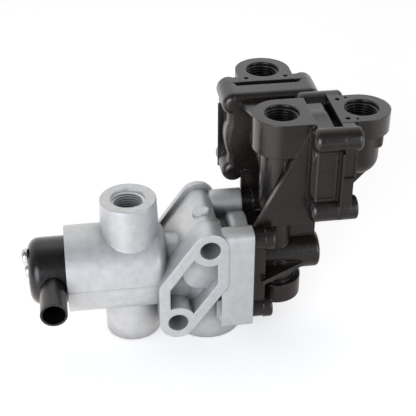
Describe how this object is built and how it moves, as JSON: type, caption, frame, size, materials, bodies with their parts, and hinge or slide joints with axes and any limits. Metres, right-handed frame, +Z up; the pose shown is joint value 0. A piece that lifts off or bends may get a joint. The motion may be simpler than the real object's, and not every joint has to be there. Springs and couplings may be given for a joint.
{
  "type": "tractor protection valve",
  "caption": "Cast aluminium tractor protection valve with a spring-loaded plunger, an exhaust cap and a black moulded check-valve manifold.",
  "frame": {"origin": "midway between the two mounting bolt holes, on the face of the front bolt flange", "axes": "+Z up along the service port, +X from the exhaust cap to the manifold, -Y out of the front flange face"},
  "size_m": [0.1867, 0.1031, 0.122],
  "materials": {
    "cast_aluminium": "blasted die casting",
    "turned_aluminium": "turned",
    "black_nylon": "satin glass-filled nylon",
    "exhaust_plastic": "glossy moulding",
    "guide_plastic": "natural acetal",
    "zinc_steel": "bright zinc plate",
    "spring_steel": "drawn wire",
    "rubber": "moulded"
  },
  "bodies": {
    "valve": {"valve_body": "cast_aluminium", "end_guide": "guide_plastic", "end_guide_seal": "rubber", "retaining_ring": "spring_steel", "exhaust_flap": "rubber", "exhaust_cover": "exhaust_plastic", "exhaust_cover_screws": "zinc_steel", "plunger_spring": "spring_steel", "joint_seal": "rubber", "manifold_body": "black_nylon", "joint_screws": "zinc_steel", "right_cover": "black_nylon", "right_cover_screws": "zinc_steel", "right_cover_seal": "rubber", "right_guide_cage": "guide_plastic", "right_check_spring": "spring_steel", "rear_cover": "black_nylon", "rear_cover_screws": "zinc_steel", "rear_cover_seal": "rubber", "rear_guide_cage": "guide_plastic", "rear_check_spring": "spring_steel"},
    "plunger": {"plunger": "turned_aluminium", "plunger_seals": "rubber"},
    "right_poppet": {"right_poppet": "guide_plastic", "right_poppet_disc": "rubber"},
    "rear_poppet": {"rear_poppet": "guide_plastic", "rear_poppet_disc": "rubber"}
  },
  "joints": [
    {"name": "plunger_slide", "type": "slide", "parent": "valve", "child": "plunger", "axis": [1, 0, 0], "range_m": [-0.006, 0], "stiffness_N_per_m": 6000, "springref_m": 0.008, "deforming": ["plunger_spring"]},
    {"name": "right_check_slide", "type": "slide", "parent": "valve", "child": "right_poppet", "axis": [1, 0, 0], "range_m": [-0.003, 0], "stiffness_N_per_m": 400, "springref_m": 0.004, "deforming": ["right_check_spring"]},
    {"name": "rear_check_slide", "type": "slide", "parent": "valve", "child": "rear_poppet", "axis": [0, 1, 0], "range_m": [-0.003, 0], "stiffness_N_per_m": 400, "springref_m": 0.004, "deforming": ["rear_check_spring"]}
  ]
}
